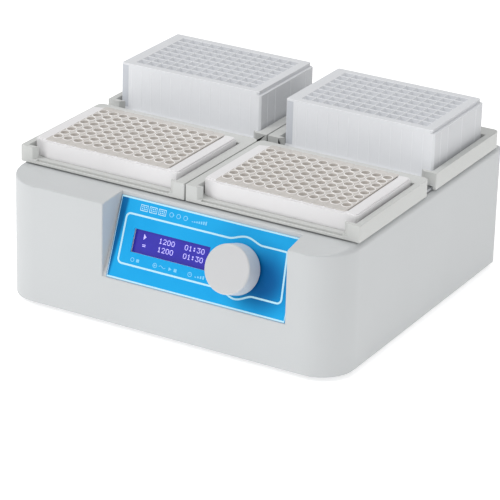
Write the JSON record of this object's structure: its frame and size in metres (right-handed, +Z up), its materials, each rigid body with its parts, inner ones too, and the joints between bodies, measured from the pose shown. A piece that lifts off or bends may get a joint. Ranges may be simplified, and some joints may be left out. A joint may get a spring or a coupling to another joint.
{
  "type": "orbital microplate shaker",
  "caption": "Benchtop orbital microplate shaker: sloped control panel, display and push dial, and a crank-driven platform whose nests hold strip plates and deep-well plates.",
  "frame": {"origin": "centre of the bounding box, on the bench plane under the rubber feet", "axes": "+X to the right seen from the front, +Y to the back, +Z up"},
  "size_m": [0.2904, 0.2832, 0.1466],
  "materials": {
    "housing_plastic": "fine moulded texture, pale grey",
    "nest_plastic": "satin moulded, pale grey",
    "pan_steel": "powder-coated sheet",
    "foot_rubber": "moulded",
    "screw_steel": "zinc plated",
    "panel_film": "printed blue polyester film, satin",
    "lcd_frame": "black stamped frame",
    "lcd_cell": "lit blue display",
    "circuit_board": "solder mask",
    "encoder_metal": "stamped",
    "knob_plastic": "satin moulded",
    "cable_grey": "flat cable",
    "supply_case": "folded sheet",
    "black_plastic": "moulded",
    "chassis_aluminium": "milled",
    "bearing_steel": "ground",
    "belt_rubber": "flat belt",
    "motor_paint": "black paint",
    "pulley_plastic": "turned acetal",
    "bronze": "sintered bushes and weight",
    "labware_white": "moulded polystyrene frame",
    "labware_clear": "clear polystyrene",
    "labware_natural": "translucent polypropylene"
  },
  "bodies": {
    "housing": {"upper_housing": "housing_plastic", "base_pan": "pan_steel", "rubber_feet": "foot_rubber", "foot_screws": "screw_steel", "base_screws": "screw_steel", "panel_overlay": "panel_film", "lcd_bezel": "lcd_frame", "lcd_glass": "lcd_cell", "display_board": "circuit_board", "display_screws": "screw_steel", "encoder_body": "encoder_metal", "encoder_nut": "screw_steel", "main_board": "circuit_board", "board_spacers": "bronze", "board_screws": "screw_steel", "ribbon_cable": "cable_grey", "power_supply": "supply_case", "mains_inlet": "black_plastic", "switch_frame": "black_plastic", "chassis_plate": "chassis_aluminium", "chassis_columns": "screw_steel", "chassis_screws": "screw_steel", "bearing_housing": "chassis_aluminium", "bearing_outer_rings": "bearing_steel", "bearing_balls": "bearing_steel", "drive_belt": "belt_rubber", "motor_case": "motor_paint", "speed_sensor": "black_plastic", "idler_bushes": "bronze"},
    "crank": {"crank_shaft": "bearing_steel", "driven_pulley": "pulley_plastic", "counterweight": "bronze", "bearing_inner_rings": "bearing_steel"},
    "motor_armature": {"motor_rotor": "bearing_steel", "motor_pulley": "pulley_plastic"},
    "platform": {"carrier_plate": "chassis_aluminium", "platform_hub": "chassis_aluminium", "platform_bearings": "bearing_steel", "idler_sockets": "bronze", "platform_screws": "screw_steel", "nest_front_left": "nest_plastic", "nest_front_right": "nest_plastic", "nest_rear_left": "nest_plastic", "nest_rear_right": "nest_plastic"},
    "idler_fl": {"idler_front_left": "bearing_steel"},
    "idler_fr": {"idler_front_right": "bearing_steel"},
    "idler_rl": {"idler_rear_left": "bearing_steel"},
    "idler_rr": {"idler_rear_right": "bearing_steel"},
    "dial_spindle": {"encoder_rotor": "encoder_metal"},
    "dial_knob": {"encoder_shaft": "encoder_metal", "control_knob": "knob_plastic"},
    "rocker": {"power_rocker": "black_plastic"},
    "fuse_carrier": {"fuse_drawer": "black_plastic"},
    "strip_plate_left": {"strip_frame_left": "labware_white", "well_strips_left": "labware_clear"},
    "strip_plate_right": {"strip_frame_right": "labware_white", "well_strips_right": "labware_clear"},
    "deep_well_left": {"deep_plate_left": "labware_natural"},
    "deep_well_right": {"deep_plate_right": "labware_natural"}
  },
  "joints": [
    {"name": "crank_spin", "type": "hinge", "parent": "housing", "child": "crank", "pos_m": [0, 0.01572, 0.06], "axis": [0, 0, 1], "continuous": true},
    {"name": "motor_spin", "type": "hinge", "parent": "housing", "child": "motor_armature", "pos_m": [-0.072, 0.01572, 0.06], "axis": [0, 0, 1], "continuous": true},
    {"name": "platform_orbit", "type": "hinge", "parent": "crank", "child": "platform", "pos_m": [0, 0.01422, 0.096], "axis": [0, 0, 1], "continuous": true},
    {"name": "idler_spin_fl", "type": "hinge", "parent": "housing", "child": "idler_fl", "pos_m": [-0.092, -0.05228, 0.06], "axis": [0, 0, 1], "continuous": true},
    {"name": "idler_spin_rl", "type": "hinge", "parent": "housing", "child": "idler_rl", "pos_m": [-0.092, 0.08372, 0.06], "axis": [0, 0, 1], "continuous": true},
    {"name": "idler_spin_fr", "type": "hinge", "parent": "housing", "child": "idler_fr", "pos_m": [0.092, -0.05228, 0.06], "axis": [0, 0, 1], "continuous": true},
    {"name": "idler_spin_rr", "type": "hinge", "parent": "housing", "child": "idler_rr", "pos_m": [0.092, 0.08372, 0.06], "axis": [0, 0, 1], "continuous": true},
    {"name": "dial_turn", "type": "hinge", "parent": "housing", "child": "dial_spindle", "pos_m": [0.0566, -0.11868, 0.06895], "axis": [0, -0.9365, 0.3508], "continuous": true},
    {"name": "dial_push", "type": "slide", "parent": "dial_spindle", "child": "dial_knob", "axis": [0, 0.9365, -0.3508], "range_m": [0, 0.0008], "stiffness_N_per_m": 2500, "springref_m": -0.0006},
    {"name": "rocker_tilt", "type": "hinge", "parent": "housing", "child": "rocker", "pos_m": [0.052, 0.13534, 0.04], "axis": [0, 0, 1], "range_deg": [-22, 0]},
    {"name": "fuse_pull", "type": "slide", "parent": "housing", "child": "fuse_carrier", "axis": [0, 1, 0], "range_m": [0, 0.022]},
    {"name": "strip_plate_lift_left", "type": "slide", "parent": "platform", "child": "strip_plate_left", "axis": [0, 0, 1], "range_m": [0, 0.06]},
    {"name": "strip_plate_lift_right", "type": "slide", "parent": "platform", "child": "strip_plate_right", "axis": [0, 0, 1], "range_m": [0, 0.06]},
    {"name": "deep_well_lift_left", "type": "slide", "parent": "platform", "child": "deep_well_left", "axis": [0, 0, 1], "range_m": [0, 0.06]},
    {"name": "deep_well_lift_right", "type": "slide", "parent": "platform", "child": "deep_well_right", "axis": [0, 0, 1], "range_m": [0, 0.06]}
  ],
  "couplings": [
    {"joint": "motor_spin", "follows": "crank_spin", "ratio": 2.5},
    {"joint": "platform_orbit", "follows": "crank_spin", "ratio": -1},
    {"joint": "idler_spin_fl", "follows": "crank_spin", "ratio": 1},
    {"joint": "idler_spin_rl", "follows": "crank_spin", "ratio": 1},
    {"joint": "idler_spin_fr", "follows": "crank_spin", "ratio": 1},
    {"joint": "idler_spin_rr", "follows": "crank_spin", "ratio": 1}
  ]
}
